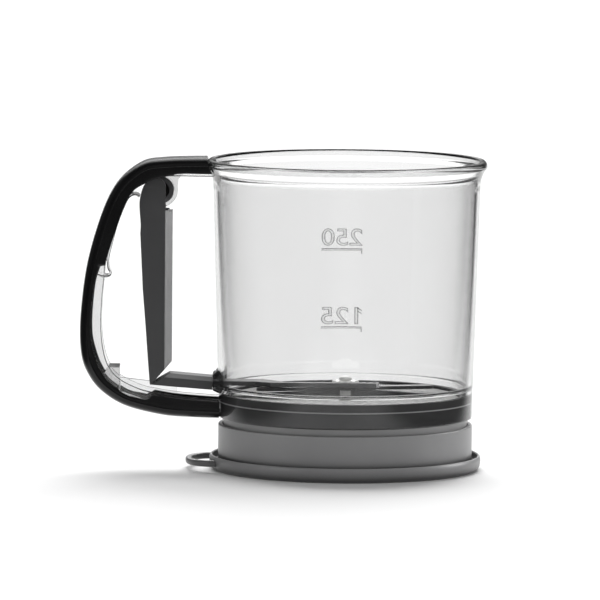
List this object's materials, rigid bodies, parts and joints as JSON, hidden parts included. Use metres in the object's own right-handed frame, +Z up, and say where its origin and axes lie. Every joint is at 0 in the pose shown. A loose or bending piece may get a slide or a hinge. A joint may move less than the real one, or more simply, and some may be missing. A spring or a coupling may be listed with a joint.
{
  "type": "trigger flour sifter",
  "caption": "Hand-held trigger flour sifter: clear flared cup with a D-shaped handle, squeeze trigger, rack-driven agitator over a fine mesh, and a push-on base lid with a pull loop.",
  "frame": {"origin": "centre of the base lid's flat bottom face, on the cup's axis", "axes": "+Z up along the cup's axis, handle and trigger towards -X, measure marks on the +Y wall"},
  "size_m": [0.1623, 0.1122, 0.1249],
  "materials": {
    "clear_plastic": "clear smoke-tinted moulded plastic, polished",
    "clear_spring_plastic": "clear moulded plastic",
    "black_gloss_plastic": "gloss",
    "dark_grey_plastic": "satin",
    "trigger_grey_plastic": "satin",
    "mid_grey_plastic": "satin",
    "natural_plastic": "satin",
    "steel_mesh": "woven wire"
  },
  "bodies": {
    "root": {"cup_body": "clear_plastic", "handle_cover": "black_gloss_plastic", "return_spring": "clear_spring_plastic", "sieve_ring": "dark_grey_plastic", "sieve_mesh": "steel_mesh", "mesh_clamp_ring": "dark_grey_plastic", "retainer_ring": "mid_grey_plastic", "hub_pin": "natural_plastic", "pin_clip": "natural_plastic"},
    "trigger": {"trigger": "trigger_grey_plastic"},
    "pull_bar": {"pull_bar": "trigger_grey_plastic"},
    "agitator": {"pinion": "natural_plastic", "lower_blade": "trigger_grey_plastic", "upper_arm": "trigger_grey_plastic"},
    "base_lid": {"base_lid": "mid_grey_plastic"}
  },
  "joints": [
    {"name": "trigger_squeeze", "type": "hinge", "parent": "root", "child": "trigger", "pos_m": [-0.0744, 0, 0.1119], "axis": [0, 1, 0], "range_deg": [0, 8.85], "stiffness_Nm_per_rad": 0.05, "deforming": ["return_spring"]},
    {"name": "bar_hinge", "type": "hinge", "parent": "trigger", "child": "pull_bar", "pos_m": [-0.0776, 0, 0.0341], "axis": [0, 1, 0], "range_deg": [-8.1, 0.1]},
    {"name": "agitator_spin", "type": "hinge", "parent": "root", "child": "agitator", "pos_m": [0, 0, 0.03], "axis": [0, 0, 1], "range_deg": [-143, 1]},
    {"name": "lid_off", "type": "slide", "parent": "root", "child": "base_lid", "axis": [0, 0, -1], "range_m": [0, 0.03]}
  ],
  "couplings": [
    {"joint": "bar_hinge", "follows": "trigger_squeeze", "ratio": -0.9098},
    {"joint": "agitator_spin", "follows": "trigger_squeeze", "ratio": -16.093}
  ]
}
